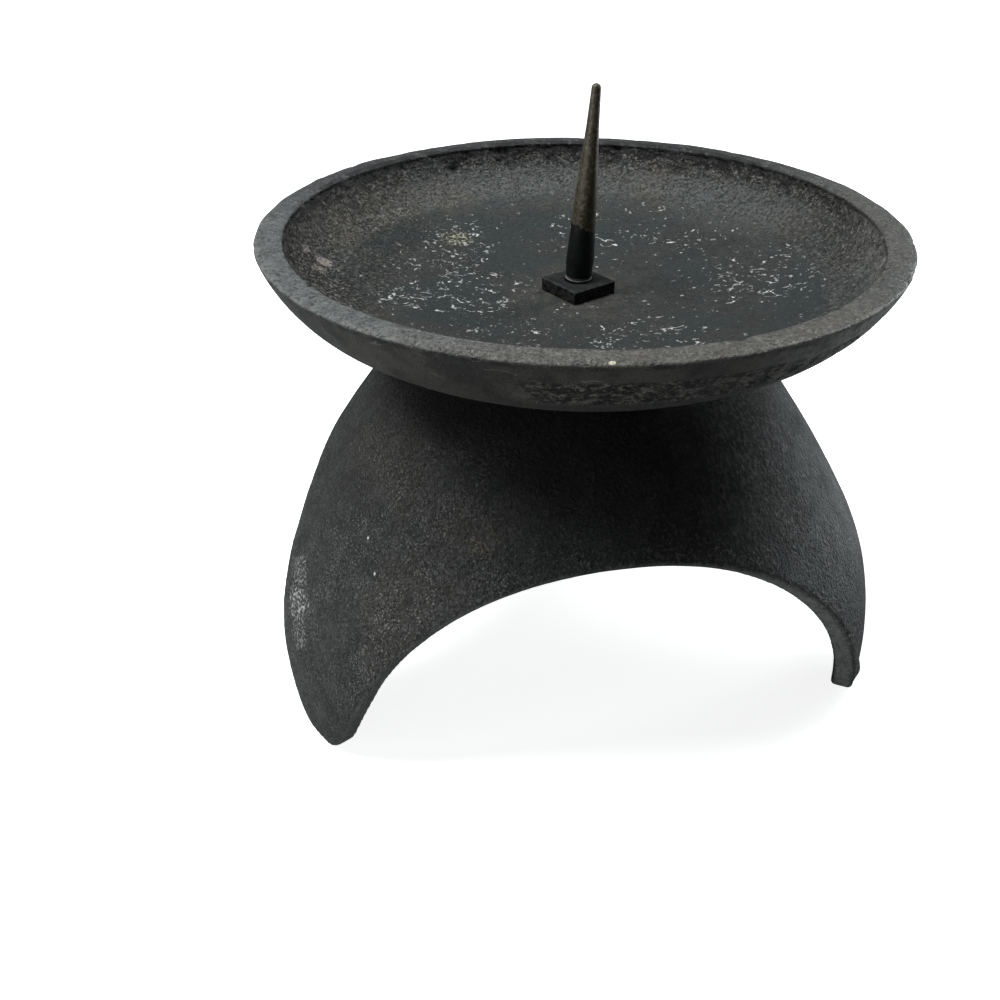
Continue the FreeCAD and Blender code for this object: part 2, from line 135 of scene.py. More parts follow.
# %% Floor
floor_mesh = bpy.data.meshes.new("floor")
floor_mesh.from_pydata([(-3, -3, 0), (3, -3, 0), (3, 3, 0), (-3, 3, 0)], [], [(0, 1, 2, 3)])
floor = bpy.data.objects.new("floor", floor_mesh)
floor.location.z = -0.0002
scene.collection.objects.link(floor)
floor_paint = bpy.data.materials.new("pale_floor")
floor_paint.use_nodes = True
fn, fl = floor_paint.node_tree.nodes, floor_paint.node_tree.links
board = fn["Principled BSDF"]
board.inputs["Base Color"].default_value = (0.80, 0.81, 0.82, 1)
board.inputs["Roughness"].default_value = 0.9
board.inputs["Specular IOR Level"].default_value = 0.1
lift = fn.new("ShaderNodeEmission")
lift.inputs["Color"].default_value = (1, 1, 1, 1)
board_place = fn.new("ShaderNodeTexCoord")
board_away = fn.new("ShaderNodeVectorMath")
board_away.operation = "LENGTH"
board_lift = fn.new("ShaderNodeMapRange")
for socket, number in zip(board_lift.inputs[1:5], (0.18, 1.2, 0.84, 1.05)):
    socket.default_value = number
fl.new(board_place.outputs["Object"], board_away.inputs[0])
fl.new(board_away.outputs["Value"], board_lift.inputs[0])
fl.new(board_lift.outputs[0], lift.inputs["Strength"])
seen_ray = fn.new("ShaderNodeLightPath")
both = fn.new("ShaderNodeAddShader")
choose = fn.new("ShaderNodeMixShader")
fl.new(board.outputs[0], both.inputs[0])
fl.new(lift.outputs[0], both.inputs[1])
fl.new(seen_ray.outputs["Is Camera Ray"], choose.inputs[0])
dim = fn.new("ShaderNodeBsdfDiffuse")
dim.inputs["Color"].default_value = (0.30, 0.31, 0.31, 1)
fl.new(dim.outputs[0], choose.inputs[1])
fl.new(both.outputs[0], choose.inputs[2])
fl.new(choose.outputs[0], fn["Material Output"].inputs["Surface"])
floor_mesh.materials.append(floor_paint)
print("floor", floor.name)

# %% [markdown]
# ## Shader groups
# Several finishes share effects, so each effect is a node group with named inputs. A helper makes
# a group and its sockets, and a small class gives the usual nodes short names: `ramp` fades a mask
# between two values, `patchy` does so with a noise, `times` multiplies masks, and `tint` lays one
# more colour over a finish.

# %% Node helpers


def new_group(name, inputs, outputs):
    """A shader group; inputs are (name, default) and outputs are (name, kind)."""
    group = bpy.data.node_groups.new(name, "ShaderNodeTree")
    for label, value in inputs:
        kind = "NodeSocketFloat" if isinstance(value, (int, float)) else \
            ("NodeSocketVector" if len(value) == 3 else "NodeSocketColor")
        socket = group.interface.new_socket(label, in_out="INPUT", socket_type=kind)
        socket.default_value = value
    for label, kind in outputs:
        group.interface.new_socket(label, in_out="OUTPUT", socket_type=kind)
    return group, Weaver(group)


class Weaver:
    """Short calls for the nodes that the groups and materials use most."""

    def __init__(self, tree):
        self.tree, self.nodes, self.links = tree, tree.nodes, tree.links

    def node(self, kind, **settings):
        made = self.nodes.new(kind)
        for key, value in settings.items():
            setattr(made, key, value)
        return made

    def wire(self, value, socket):
        if isinstance(value, bpy.types.NodeSocket):
            self.links.new(value, socket)
        else:
            socket.default_value = value

    def math(self, how, a, b=0.0, clamp=False):
        made = self.node("ShaderNodeMath", operation=how, use_clamp=clamp)
        self.wire(a, made.inputs[0])
        self.wire(b, made.inputs[1])
        return made.outputs[0]

    def ramp(self, value, low, high, to_low=0.0, to_high=1.0):
        made = self.node("ShaderNodeMapRange", interpolation_type="SMOOTHSTEP")
        for socket, number in zip(made.inputs[:5], (value, low, high, to_low, to_high)):
            self.wire(number, socket)
        return made.outputs[0]

    def noise(self, place, scale, detail=4.0, rough=0.55, bend=0.0):
        made = self.node("ShaderNodeTexNoise")
        self.wire(place, made.inputs["Vector"])
        for label, number in (("Scale", scale), ("Detail", detail), ("Roughness", rough),
                              ("Distortion", bend)):
            self.wire(number, made.inputs[label])
        return made.outputs["Fac"]

    def patchy(self, place, scale, detail, rough, low, high, to_low=0.0, to_high=1.0):
        return self.ramp(self.noise(place, scale, detail, rough), low, high, to_low, to_high)

    def times(self, first, *others):
        for other in others:
            first = self.math("MULTIPLY", first, other)
        return first

    def cells(self, place, scale):
        made = self.node("ShaderNodeTexVoronoi")
        self.wire(place, made.inputs["Vector"])
        self.wire(scale, made.inputs["Scale"])
        return made

    def mix(self, share, a, b):
        made = self.node("ShaderNodeMix", data_type="RGBA")
        self.wire(share, made.inputs[0])
        self.wire(a, made.inputs[6])
        self.wire(b, made.inputs[7])
        return made.outputs[2]

    def tint(self, colour, share, paint):
        return self.mix(share, colour, (*paint, 1))

    def split(self, place):
        made = self.node("ShaderNodeSeparateXYZ")
        self.wire(place, made.inputs[0])
        return made.outputs

    def vector(self, how, a, b=(0, 0, 0)):
        made = self.node("ShaderNodeVectorMath", operation=how)
        self.wire(a, made.inputs[0])
        self.wire(b, made.inputs[1])
        return made.outputs["Value"] if how in ("LENGTH", "DISTANCE", "DOT_PRODUCT") else made.outputs[0]

    def place(self, group, **values):
        made = self.node("ShaderNodeGroup", node_tree=group)
        for key, value in values.items():
            self.wire(value, made.inputs[key])
        return made

    def ins(self):
        return self.node("NodeGroupInput").outputs

    def outs(self):
        return self.node("NodeGroupOutput").inputs


print("helpers ready")

# %% [markdown]
# ### Sand grain
# A sand mould leaves three sizes of relief: slow swells a centimetre across, lumps of a
# millimetre or two, and the grain of the sand itself. Their sum is one height.

# %% Group: sand grain
sand_grain, w = new_group("sand_grain", [("Place", (0.0, 0.0, 0.0)), ("Lumps", 1.0), ("Grain", 1.0)],
                          [("Height", "NodeSocketFloat"), ("Tone", "NodeSocketFloat")])
i, o = w.ins(), w.outs()
lumps = w.noise(i["Place"], 520.0, 4.0, 0.75)
grain = w.noise(i["Place"], 1700.0, 2.0, 0.75)
nubs = w.patchy(i["Place"], 1250.0, 2.0, 0.6, 0.50, 0.66)
fine = w.math("ADD", w.times(grain, 0.45), w.times(nubs, 0.55))
height = w.math("ADD", w.times(lumps, i["Lumps"]), w.times(fine, i["Grain"]))
w.wire(height, o["Height"])
w.wire(w.noise(i["Place"], 160.0, 6.0, 0.7), o["Tone"])
print("sand_grain", len(w.nodes), "nodes")

# %% [markdown]
# ### Spots and flecks
# `spot_mask` is 1 near a point and fades at a ragged edge. `speckle` finds the highest and the
# lowest grains of one fine noise, for pale rubbed tips and black gaps. `scattered_flecks` keeps
# only a few cells of a fine cell pattern, so it gives separate specks whose number follows a
# density. `curved_slivers` gives short curled lines.

# %% Group: spot mask
spot_mask, w = new_group("spot_mask", [("Place", (0.0, 0.0, 0.0)), ("Centre", (0.0, 0.0, 0.0)),
                                       ("Reach", 0.005), ("Ragged", 0.5), ("Scale", 500.0)],
                         [("Mask", "NodeSocketFloat")])
i, o = w.ins(), w.outs()
away = w.math("DIVIDE", w.vector("DISTANCE", i["Place"], i["Centre"]), i["Reach"])
edge = w.times(w.math("SUBTRACT", w.noise(i["Place"], i["Scale"], 4.0, 0.7), 0.5), i["Ragged"])
w.wire(w.ramp(w.math("ADD", away, edge), 0.7, 1.0, 1.0, 0.0), o["Mask"])
print("spot_mask", len(w.nodes), "nodes")

# %% Group: speckle
speckle, w = new_group("speckle", [("Place", (0.0, 0.0, 0.0)), ("Scale", 2200.0)],
                       [("Light", "NodeSocketFloat"), ("Dark", "NodeSocketFloat")])
i, o = w.ins(), w.outs()
salt = w.noise(i["Place"], i["Scale"], 1.0, 0.6)
w.wire(w.ramp(salt, 0.575, 0.655), o["Light"])
w.wire(w.ramp(salt, 0.45, 0.34), o["Dark"])
print("speckle", len(w.nodes), "nodes")

# %% Group: scattered flecks
scattered_flecks, w = new_group(
    "scattered_flecks", [("Place", (0.0, 0.0, 0.0)), ("Scale", 600.0), ("Density", 0.1), ("Size", 0.3)],
    [("Mask", "NodeSocketFloat")])
i, o = w.ins(), w.outs()
wobble = w.node("ShaderNodeTexNoise")
w.wire(i["Place"], wobble.inputs["Vector"])
wobble.inputs["Scale"].default_value = 900.0
shift = w.vector("SCALE", w.vector("SUBTRACT", wobble.outputs["Color"], (0.5, 0.5, 0.5)))
shift.node.inputs["Scale"].default_value = 0.0012
cell = w.cells(w.vector("ADD", i["Place"], shift), i["Scale"])
apart = w.node("ShaderNodeSeparateColor")
w.wire(cell.outputs["Color"], apart.inputs[0])
chosen = w.math("LESS_THAN", apart.outputs[0], i["Density"])
reach = w.times(i["Size"], w.math("ADD", w.times(apart.outputs[1], 0.8), 0.35))
inside = w.ramp(w.math("SUBTRACT", reach, cell.outputs["Distance"]), 0.0, 0.08)
w.wire(w.times(chosen, inside), o["Mask"])
print("scattered_flecks", len(w.nodes), "nodes")

# %% [markdown]
# For `curved_slivers`, the level line of a noise is a long thin curve. A second noise keeps only
# short bits of it, more of them where Crowd is high, which looks like curled scrapings.

# %% Group: curved slivers
curved_slivers, w = new_group(
    "curved_slivers", [("Place", (0.0, 0.0, 0.0)), ("Scale", 300.0), ("Crowd", 0.0), ("Width", 0.014)],
    [("Mask", "NodeSocketFloat")])
i, o = w.ins(), w.outs()
level = w.math("ABSOLUTE", w.math("SUBTRACT", w.noise(i["Place"], i["Scale"], 2.0, 0.5), 0.5))
line = w.ramp(level, i["Width"], w.times(i["Width"], 0.35))
elsewhere = w.vector("ADD", i["Place"], (3.1, 1.7, 0.6))
bits = w.math("ADD", w.noise(elsewhere, w.times(i["Scale"], 1.05), 3.0, 0.65), w.times(i["Crowd"], 0.13))
w.wire(w.times(line, w.ramp(bits, 0.640, 0.672)), o["Mask"])
print("groups", [g.name for g in bpy.data.node_groups])

# %% [markdown]
# ## The dish's shape
# The dish is turned, so its skin is a section swept round the axis, with enough rings and spokes
# for the later steps to dent them. Its walls are arcs that leave each other smoothly, so a helper
# continues an arc from a heading.

# %% Helper: points along an arc


def arc_points(start, heading, end, step):
    """Points from start (left out) to end on the arc that leaves start at a heading in radians."""
    (x0, y0), (x1, y1) = start, end
    chord = math.atan2(y1 - y0, x1 - x0)
    half = math.remainder(chord - heading, math.tau)
    length = math.hypot(x1 - x0, y1 - y0)
    count = max(2, round(length / step))
    if abs(half) < 1e-6:
        return [(x0 + (x1 - x0) * k / count, y0 + (y1 - y0) * k / count)
                for k in range(1, count + 1)], heading
    radius = length / 2 / math.sin(half)
    cx, cy = x0 - radius * math.sin(heading), y0 + radius * math.cos(heading)
    turned = [heading + 2 * half * k / count for k in range(1, count + 1)]
    return [(cx + radius * math.sin(t), cy - radius * math.cos(t)) for t in turned], turned[-1]


def line_points(start, end, step):
    count = max(1, round(math.dist(start, end) / step))
    return [(start[0] + (end[0] - start[0]) * k / count, start[1] + (end[1] - start[1]) * k / count)
            for k in range(1, count + 1)]


print("arc of", len(arc_points((0, 0), 0.0, (1, 1), 0.1)[0]), "points")

# %% [markdown]
# The section is drawn in millimetres, with the same corners as the measured dish: out along the
# floor, up the inner wall, over the rim's flat top, down the outer wall and back underneath.
# Points stand closest where the skin will be dented most.

# %% The dish's section, in millimetres
RIM_WIDTH, RIM_EDGE, BORE, FLAT_FLOOR = 6.3, 0.7, 3.3, 12.0
rim, bottom = rim_z / MM, crown_z / MM
floor_level = nut_low.z / MM
depth, tall = rim - floor_level, rim - bottom
outer_r, edge = dish_radius / MM, RIM_EDGE
inner_r = outer_r - RIM_WIDTH
wall_foot = (0.771 * outer_r, floor_level + 0.337 * depth)
turn = (0.861 * outer_r, bottom + 0.384 * tall)
under = (0.486 * outer_r, bottom)
section = [(BORE, floor_level)]
section += line_points(section[-1], (FLAT_FLOOR, floor_level), 0.9)
run, heading = arc_points(section[-1], 0.0, wall_foot, 0.75)
section += run
first_wall = len(section)
run, heading = arc_points(section[-1], heading, (inner_r, rim - edge), 0.5)
section += run
first_rim = len(section)
section += arc_points(section[-1], math.pi / 2, (inner_r + edge, rim), 0.3)[0]
section += line_points(section[-1], (outer_r - edge, rim), 0.55)
section += arc_points(section[-1], 0.0, (outer_r, rim - edge), 0.3)[0]
first_outer = len(section)
_, back = arc_points(under, 0.0, turn, 1.0)
_, rise = arc_points(turn, back, (outer_r, rim - edge), 1.0)
section += arc_points(section[-1], rise + math.pi, turn, 0.6)[0]
section += arc_points(section[-1], back + math.pi, under, 0.8)[0]
first_under = len(section)
section += line_points(section[-1], (BORE, bottom), 2.2)
print("section of", len(section), "points")

# %% Sweep the section round the axis
SPOKES = 470


def swept(name, points, spokes):
    """A mesh made by turning a closed section; spoke k holds the section's points in order."""
    verts, faces = [], []
    for k in range(spokes):
        c, s = math.cos(math.tau * k / spokes), math.sin(math.tau * k / spokes)
        verts += [(r * c * MM, r * s * MM, z * MM) for r, z in points]
    count = len(points)
    for k in range(spokes):
        a, b = k * count, (k + 1) % spokes * count
        for j in range(count):
            nxt = (j + 1) % count
            faces.append((a + j, b + j, b + nxt, a + nxt))
    mesh = bpy.data.meshes.new(name)
    mesh.from_pydata(verts, [], faces)
    mesh.update()
    return mesh


dish_mesh = swept("dish_casting", section, SPOKES)
bm = bmesh.new()
bm.from_mesh(dish_mesh)
bmesh.ops.recalc_face_normals(bm, faces=bm.faces)
bm.to_mesh(dish_mesh)
bm.free()
print("dish mesh", len(dish_mesh.vertices), "points")

# %% [markdown]
# The rim was knocked and filed: its edges wander, and small nicks are broken out of them. The
# points of both edges are moved a little by a noise that runs round the rim.

# %% Wear the rim's edges


def round_the_rim(azimuth, scale, seed):
    """A smooth wandering value from about -1 to 1 round the rim."""
    return noise.noise(Vector((math.cos(azimuth) * scale, math.sin(azimuth) * scale, seed)))


EDGE_REACH, OUTER_RINGS = 2.0 * MM, 30
for k in range(SPOKES):
    azimuth = math.tau * k / SPOKES
    wander = 0.5 + 0.5 * round_the_rim(azimuth, 7.0, 0.0)
    front_share = 0.5 if azimuth < math.pi else 1.6
    nick_out = max(0.0, round_the_rim(azimuth, 17.0, 5.0) - 0.22) * front_share
    nick_in = max(0.0, round_the_rim(azimuth, 21.0, 9.0) - 0.20) * 1.4
    for j in range(first_wall, first_outer + OUTER_RINGS):
        point = dish_mesh.vertices[k * len(section) + j]
        r = point.co.xy.length
        outer = max(0.0, 1.0 - math.hypot(r - dish_radius, point.co.z - rim_z) / EDGE_REACH)
        inner = max(0.0, 1.0 - math.hypot(r - inner_r * MM, point.co.z - rim_z) / EDGE_REACH)
        drop = outer * (0.45 * wander + nick_out) + inner * (0.35 * (1 - wander) + nick_in)
        point.co.z -= drop * MM
        point.co.xy *= 1.0 + (inner * nick_in - outer * (0.3 * wander + 0.8 * nick_out)) * MM / r
print("rim worn")

# %% [markdown]
# Each point also carries how coarse the casting is there. The inner wall is badly pitted at the
# back and less so on the left, the outer wall only in front, and the floor and the rim are smooth.
# The seats of the nut and of the dome stay quiet, so that the pieces still meet.

# %% Mark where the dish is coarse


def between(value, low, high):
    return min(1.0, max(0.0, (value - low) / (high - low)))


def near_angle(angle, centre, spread, gain):
    """1 near an azimuth, falling smoothly to 0 at the spread, all in degrees."""
    away = abs(math.remainder(angle - centre, 360.0)) / spread
    return min(1.0, gain * max(0.0, 1.0 - away * away) ** 2)


coarse = dish_mesh.attributes.new("coarse", "FLOAT", "POINT")
quiet = dish_mesh.attributes.new("quiet", "FLOAT", "POINT")
for k in range(SPOKES):
    azimuth = 360.0 * k / SPOKES
    for j, (r, z) in enumerate(section):
        up = (z - floor_level) / depth
        value = 0.0
        if j < first_rim:
            top = between(up, 1.0, 0.94)
            steep = between(up, 0.58, 0.72) * top * (0.25 + 0.75 * near_angle(azimuth, 92, 85, 1.5))
            left = between(up, 0.10, 0.30) * top * near_angle(azimuth, 160, 55, 1.4)
            value = max(0.20 * between(r, 46.0, 54.0), 0.62 * left, steep)
        elif first_outer <= j < first_under:
            low = between(z, rim - 4.5, rim - 6.0) * between(z, 97.0, 99.0)
            value = low * max(near_angle(azimuth, -86, 32, 1.4), 0.55 * near_angle(azimuth, -60, 30, 1.0))
        coarse.data[k * len(section) + j].value = value
        hidden = r < 9.5 if j < first_rim else (j >= first_outer and r < 20.0)
        quiet.data[k * len(section) + j].value = 1.0 if hidden else 0.0
print("coarse points", sum(1 for item in coarse.data if item.value > 0.3))

# %% [markdown]
# ## The dome's shape
# The dome's arches make its measured mesh uneven: long triangles on the walls and thousands of
# slivers on the edges. A voxel remesh of a copy gives even small quads, which also softens the
# edges a little, as sand casting and years of wear do.

# %% Remesh a copy of the dome
dome_copy = bpy.data.objects.new("dome_copy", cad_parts["base"].data.copy())
scene.collection.objects.link(dome_copy)
bm = bmesh.new()
bm.from_mesh(dome_copy.data)
bmesh.ops.remove_doubles(bm, verts=bm.verts, dist=1e-6)
bm.to_mesh(dome_copy.data)
bm.free()
even = dome_copy.modifiers.new("even_quads", "REMESH")
even.mode, even.voxel_size, even.adaptivity = "VOXEL", 0.86 * MM, 0.0
dome_mesh = bpy.data.meshes.new_from_object(
    dome_copy.evaluated_get(bpy.context.evaluated_depsgraph_get()))
dome_mesh.name = "dome_casting"
bpy.data.objects.remove(dome_copy)
print("dome mesh", len(dome_mesh.vertices), "points")

# %% [markdown]
# The outline of the outside is read from the mesh itself, one radius for each millimetre of
# height. Only then is a bit of casting flash added, low on the outside of the right front leg.

# %% Read the outline and add the flash
LEVELS = 92
reach_at = [0.0] * LEVELS
for vert in dome_mesh.vertices:
    level = min(LEVELS - 1, max(0, int(vert.co.z / MM)))
    reach_at[level] = max(reach_at[level], vert.co.xy.length)
FLASH_RADIUS, FLASH_REACH, FLASH_THICKNESS = 0.0738, 0.0042, 0.0019
leg_angle = math.radians(-29)
flash = Vector((math.cos(leg_angle) * FLASH_RADIUS, math.sin(leg_angle) * FLASH_RADIUS, FLASH_REACH))
for vert in dome_mesh.vertices:
    lump = max(0.0, 1.0 - (vert.co - flash).length / FLASH_REACH) ** 1.5
    vert.co.xy *= 1.0 + FLASH_THICKNESS * lump / max(vert.co.xy.length, MM)
print("widest", round(max(reach_at), 4))

# %% [markdown]
# How deep a point lies inside the wall tells the faces apart: the outside is at depth 0, the
# inside at the wall's thickness, and the faces of the arches lie between. The arches' edges are
# the first part of a millimetre of depth, and they are rubbed.

# %% Mark the arches' faces and their rubbed edges
cut_face = dome_mesh.attributes.new("cut_face", "FLOAT", "POINT")
wear = dome_mesh.attributes.new("edge_wear", "FLOAT", "POINT")
for index, vert in enumerate(dome_mesh.vertices):
    height_mm = vert.co.z / MM
    level = min(84, max(2, int(height_mm)))
    slope = (reach_at[level + 2] - reach_at[level - 2]) / (4 * MM)
    outline = reach_at[level] + (reach_at[level + 1] - reach_at[level]) * between(height_mm - level, 0, 1)
    depth = (outline - vert.co.xy.length) / math.hypot(1.0, slope) / MM
    cut_face.data[index].value = between(depth, 0.5, 1.1) * (1 - between(depth, 4.2, 4.8))
    wear.data[index].value = between(depth, 0.12, 0.35) * (1 - between(depth, 0.7, 1.1))
print("marked", sum(1 for item in wear.data if item.value > 0.5), "edge points")

# %% [markdown]
# ## Cast skin
# Both castings get their relief from one Geometry Nodes tree that moves each point along its
# normal. Its inputs are the depth of the swells, lumps and pits in metres. Pits are deepest where
# the mesh says it is coarse, and hidden seats stay as they are. All moves go inwards, so the
# castings never outgrow their measured size.

# %% Tree: cast skin
cast_skin = bpy.data.node_groups.new("cast_skin", "GeometryNodeTree")
face = cast_skin.interface
face.new_socket("Geometry", in_out="INPUT", socket_type="NodeSocketGeometry")
skin_sockets = {}
for label, kind in (("Swell Depth", "NodeSocketFloat"), ("Lump Depth", "NodeSocketFloat"),
                    ("Pit Depth", "NodeSocketFloat"), ("Seed", "NodeSocketFloat"),
                    ("Finish", "NodeSocketMaterial")):
    skin_sockets[label] = face.new_socket(label, in_out="INPUT", socket_type=kind).identifier
face.new_socket("Geometry", in_out="OUTPUT", socket_type="NodeSocketGeometry")
g = Weaver(cast_skin)
gi = g.ins()
spot = g.node("GeometryNodeInputPosition").outputs[0]
normal = g.node("GeometryNodeInputNormal").outputs[0]
seed = g.node("ShaderNodeCombineXYZ")
g.wire(gi["Seed"], seed.inputs[0])
here = g.vector("ADD", spot, seed.outputs[0])


def field(name):
    made = g.node("GeometryNodeInputNamedAttribute", data_type="FLOAT")
    made.inputs["Name"].default_value = name
    return made.outputs[0]


swell = g.math("SUBTRACT", g.noise(here, 55.0, 2.0, 0.5), 0.72)
lump = g.math("SUBTRACT", g.noise(here, 380.0, 5.0, 0.7), 0.75)
pit_noise = g.patchy(g.vector("MULTIPLY", here, (0.75, 0.75, 1.25)), 800.0, 3.0, 0.7, 0.46, 0.64)
pit_patch = g.patchy(here, 120.0, 3.0, 0.6, 0.38, 0.62)
rough_pits = g.times(pit_noise, pit_patch, -1.0, gi["Pit Depth"], field("coarse"))
coarser = g.math("ADD", g.times(field("coarse"), 2.2), 1.0)
coarse_lump = g.times(lump, gi["Lump Depth"], coarser)
total = g.math("ADD", g.math("ADD", g.times(swell, gi["Swell Depth"]), coarse_lump), rough_pits)
free = g.math("SUBTRACT", 1.0, field("quiet"))
move = g.node("ShaderNodeVectorMath", operation="SCALE")
g.wire(normal, move.inputs[0])
g.wire(g.times(total, free), move.inputs["Scale"])
shifted = g.node("GeometryNodeSetPosition")
g.wire(gi["Geometry"], shifted.inputs["Geometry"])
g.wire(move.outputs[0], shifted.inputs["Offset"])
plain = g.node("GeometryNodeRealizeInstances")
g.wire(shifted.outputs[0], plain.inputs[0])
coat = g.node("GeometryNodeSetMaterial")
g.wire(plain.outputs[0], coat.inputs["Geometry"])
g.wire(gi["Finish"], coat.inputs["Material"])
g.wire(coat.outputs[0], g.outs()[0])
print("tree", cast_skin.name, "with", len(cast_skin.nodes), "nodes")

# %% Helper: run a tree on a mesh and keep the result


def baked(name, mesh, tree, sockets, **values):
    """A plain object made by a Geometry Nodes tree from a mesh."""
    source = bpy.data.objects.new(name + "_source", mesh)
    scene.collection.objects.link(source)
    made = source.modifiers.new("tree", "NODES")
    made.node_group = tree
    for label, value in values.items():
        made[sockets[label.replace("_", " ")]] = value
    result = bpy.data.meshes.new_from_object(
        source.evaluated_get(bpy.context.evaluated_depsgraph_get()))
    bpy.data.objects.remove(source)
    result.name = name
    piece = bpy.data.objects.new(name, result)
    scene.collection.objects.link(piece)
    for polygon in result.polygons:
        polygon.use_smooth = True
    return piece


print("helper ready")

# %% [markdown]
# ## Finishes
# The castings are blackened iron: dark, dry and only faintly shiny, greener at a glance and
# browner where hands and wax have been. All their finishes come from one function, so dish and
# dome match, and each adds its own marks. A height of 1 in their relief is worth 0.75 mm.

# %% Material helper
BUMP_DEPTH = 0.00075


def new_finish(name, roughness=0.6, metallic=0.0, specular=0.5):
    made = bpy.data.materials.new(name)
    made.use_nodes = True
    w = Weaver(made.node_tree)
    shader = w.nodes["Principled BSDF"]
    shader.inputs["Roughness"].default_value = roughness
    shader.inputs["Metallic"].default_value = metallic
    shader.inputs["Specular IOR Level"].default_value = specular
    spot = w.node("ShaderNodeTexCoord").outputs["Object"]
    return made, w, shader, spot


def relief(w, shader, height, depth, strength=1.0):
    """Feed a height, worth this many metres where it is 1, to the shader's normal."""
    bump = w.node("ShaderNodeBump")
    bump.inputs["Distance"].default_value = depth
    bump.inputs["Strength"].default_value = strength
    w.wire(height, bump.inputs["Height"])
    w.wire(bump.outputs[0], shader.inputs["Normal"])


def spots(w, spot, places):
    """The strongest of several spot masks; places are (centre in mm, reach in mm, ragged, share)."""
    total = 0.0
    for centre, reach, ragged, share in places:
        mask = w.place(spot_mask, Place=spot, Centre=tuple(c * MM for c in centre),
                       Reach=reach * MM, Ragged=ragged).outputs["Mask"]
        mask = w.times(mask, share)
        total = mask if total == 0.0 else w.math("MAXIMUM", total, mask)
    return total


print("finish helpers ready")

# %% [markdown]
# ### Bare casting
# Both castings share one skin: dark iron with browner areas, pale tips on the grains and black
# gaps between them. A function makes it, because only its strengths differ: the dish is finer,
# and the dome's left half is coarse and salty.

# %% Iron, shared by both castings
PITCH = (0.003, 0.003, 0.003)


def iron_base(w, spot, lumps, grain, rub):
    """Colour, relief and roughness of the bare blackened casting; rub is how pale its grains are."""
    sand = w.place(sand_grain, Place=spot, Lumps=lumps, Grain=grain)
    tone = sand.outputs["Tone"]
    colour = w.mix(w.ramp(tone, 0.30, 0.70), (0.0125, 0.0145, 0.0142, 1), (0.034, 0.037, 0.036, 1))
    brown = w.patchy(spot, 38.0, 4.0, 0.6, 0.47, 0.66)
    colour = w.tint(colour, w.times(brown, 0.6), (0.040, 0.036, 0.031))
    grit = w.place(speckle, Place=spot, Scale=2300.0)
    patch = w.patchy(spot, 95.0, 4.0, 0.7, 0.38, 0.64, 0.25, 1.0)
    colour = w.tint(colour, w.times(grit.outputs["Light"], patch, rub), (0.25, 0.25, 0.235))
    colour = w.tint(colour, w.times(grit.outputs["Dark"], 0.7), (0.004, 0.0042, 0.0042))
    return colour, sand.outputs["Height"], w.ramp(tone, 0.25, 0.75, 0.68, 0.50)


print("bare casting ready")

# %% [markdown]
# ### Dish
# Rim, outer wall, inner wall and floor wear differently, but they are one casting. So they are one
# material, whose marks are placed by height, by distance from the axis and by the mesh's `coarse`
# attribute. Each mark is laid over the colour so far, in the order in which it came to be.

# %% Dish finish: bare iron and rim
dish_iron, w, shader, spot = new_finish("dish_iron", specular=0.35)
colour, height, rough = iron_base(w, spot, 0.16, 0.55, 0.30)
coarse_here = w.node("ShaderNodeAttribute", attribute_name="coarse").outputs["Fac"]
x, y, z = w.split(spot)
from_axis = w.vector("LENGTH", w.vector("MULTIPLY", spot, (1, 1, 0)))
# The rim's flat top is rubbed to a lighter, smoother grey, with painted light making it paler on the left,
# browner in front, dark at the back.
on_rim = w.times(w.ramp(z, rim_z - 1.2 * MM, rim_z - 0.4 * MM),
                 w.ramp(from_axis, dish_radius - 6.9 * MM, dish_radius - 6.0 * MM))
rim_grey_lit_left = w.mix(w.ramp(x, -0.050, 0.040), (0.120, 0.128, 0.126, 1), (0.084, 0.084, 0.078, 1))
colour = w.mix(w.times(on_rim, w.patchy(spot, 230.0, 6.0, 0.75, 0.30, 0.62, 0.25, 0.95)), colour, rim_grey_lit_left)
brown_front = w.times(on_rim, w.ramp(y, -0.045, -0.060), w.patchy(spot, 60.0, 4.0, 0.6, 0.35, 0.55, 0.3, 1.0))
colour = w.tint(colour, w.times(brown_front, 0.6), (0.074, 0.067, 0.056))
chips = w.place(curved_slivers, Place=spot, Scale=420.0, Crowd=w.times(brown_front, 0.8), Width=0.035)
colour = w.tint(colour, w.times(chips.outputs["Mask"], on_rim, 0.45), (0.26, 0.25, 0.22))
colour = w.tint(colour, w.times(on_rim, w.ramp(y, 0.000, 0.050), 0.80), (0.014, 0.016, 0.018))
rim_grit = w.place(speckle, Place=spot, Scale=1500.0)
colour = w.tint(colour, w.times(rim_grit.outputs["Light"], on_rim, 0.35), (0.22, 0.22, 0.21))
colour = w.tint(colour, w.times(rim_grit.outputs["Dark"], on_rim, 0.65), (0.022, 0.022, 0.021))
edge_line = w.times(w.ramp(z, rim_z - 1.1 * MM, rim_z - 0.5 * MM),
                    w.ramp(from_axis, dish_radius - 0.95 * MM, dish_radius - 0.5 * MM),
                    w.patchy(spot, 140.0, 5.0, 0.7, 0.42, 0.60))
colour = w.tint(colour, w.times(edge_line, 0.6), (0.17, 0.165, 0.15))
print("dish_iron so far", len(w.nodes), "nodes")

# %% [markdown]
# The outer wall is smoother and browner than the dome. The inner wall is gritty all round: black
# crevices and gaps between lit grains about a millimetre apart, with tan dust on the left.

